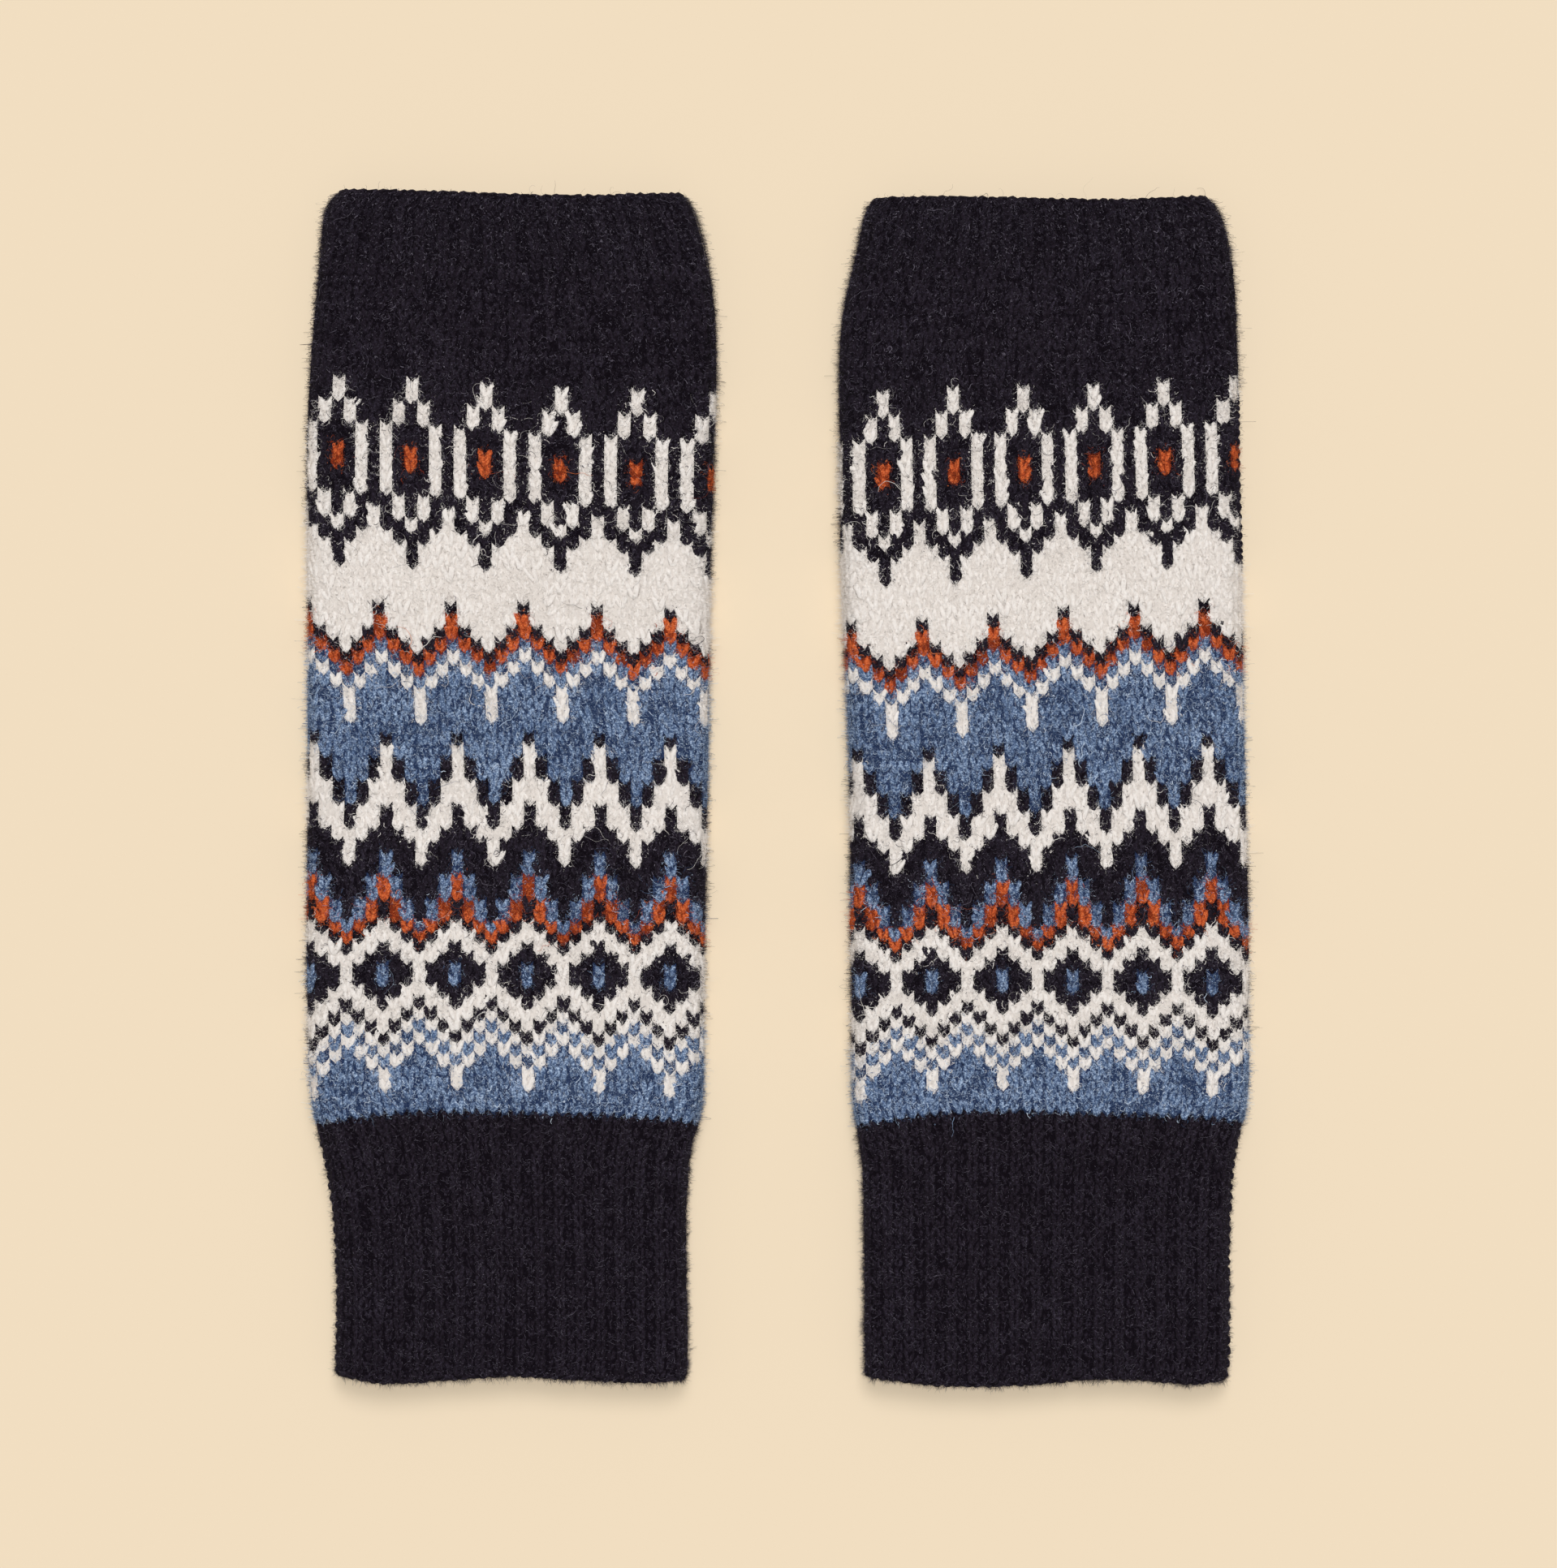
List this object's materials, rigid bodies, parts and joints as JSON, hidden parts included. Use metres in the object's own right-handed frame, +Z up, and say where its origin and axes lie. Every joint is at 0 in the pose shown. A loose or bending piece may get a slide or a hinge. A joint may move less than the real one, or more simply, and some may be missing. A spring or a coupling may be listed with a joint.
{
  "type": "pair of fingerless knitted hand warmers",
  "caption": "Pair of long fingerless hand warmers in brushed jacquard knit, with a short rib at the hand, a long rib cuff at the arm and a thumb opening in the side seam.",
  "frame": {"origin": "middle of the pair's outline, on the surface it lies on", "axes": "+Z up off the surface, +Y towards the fingers, +X from the left glove to the right one"},
  "size_m": [0.235, 0.296, 0.011],
  "materials": {
    "navy_rib_knit": "brushed rib knit",
    "navy_plain_knit": "brushed plain knit",
    "jacquard_knit": "brushed stranded knit in navy, off-white, rust and denim blue",
    "seam_yarn": "linked seam yarn"
  },
  "bodies": {
    "left_glove": {"left_hand_rib": "navy_rib_knit", "left_navy_yoke": "navy_plain_knit", "left_jacquard_body": "jacquard_knit", "left_hand_seam": "seam_yarn", "left_thumb_edge": "seam_yarn", "left_arm_seam": "seam_yarn"},
    "right_glove": {"right_hand_rib": "navy_rib_knit", "right_navy_yoke": "navy_plain_knit", "right_jacquard_body": "jacquard_knit", "right_hand_seam": "seam_yarn", "right_thumb_edge": "seam_yarn", "right_arm_seam": "seam_yarn"},
    "left_cuff": {"left_arm_cuff": "navy_rib_knit", "left_cuff_seam": "seam_yarn"},
    "right_cuff": {"right_arm_cuff": "navy_rib_knit", "right_cuff_seam": "seam_yarn"}
  },
  "joints": [
    {"name": "right_glove_lift", "type": "slide", "parent": "left_glove", "child": "right_glove", "axis": [0, 0, 1], "range_m": [0, 0.12]},
    {"name": "left_cuff_fold", "type": "hinge", "parent": "left_glove", "child": "left_cuff", "pos_m": [-0.0663, -0.081, 0.0115], "axis": [-1, 0, 0], "range_deg": [0, 175]},
    {"name": "right_cuff_fold", "type": "hinge", "parent": "right_glove", "child": "right_cuff", "pos_m": [0.0668, -0.081, 0.0115], "axis": [-1, 0, 0], "range_deg": [0, 175]}
  ]
}
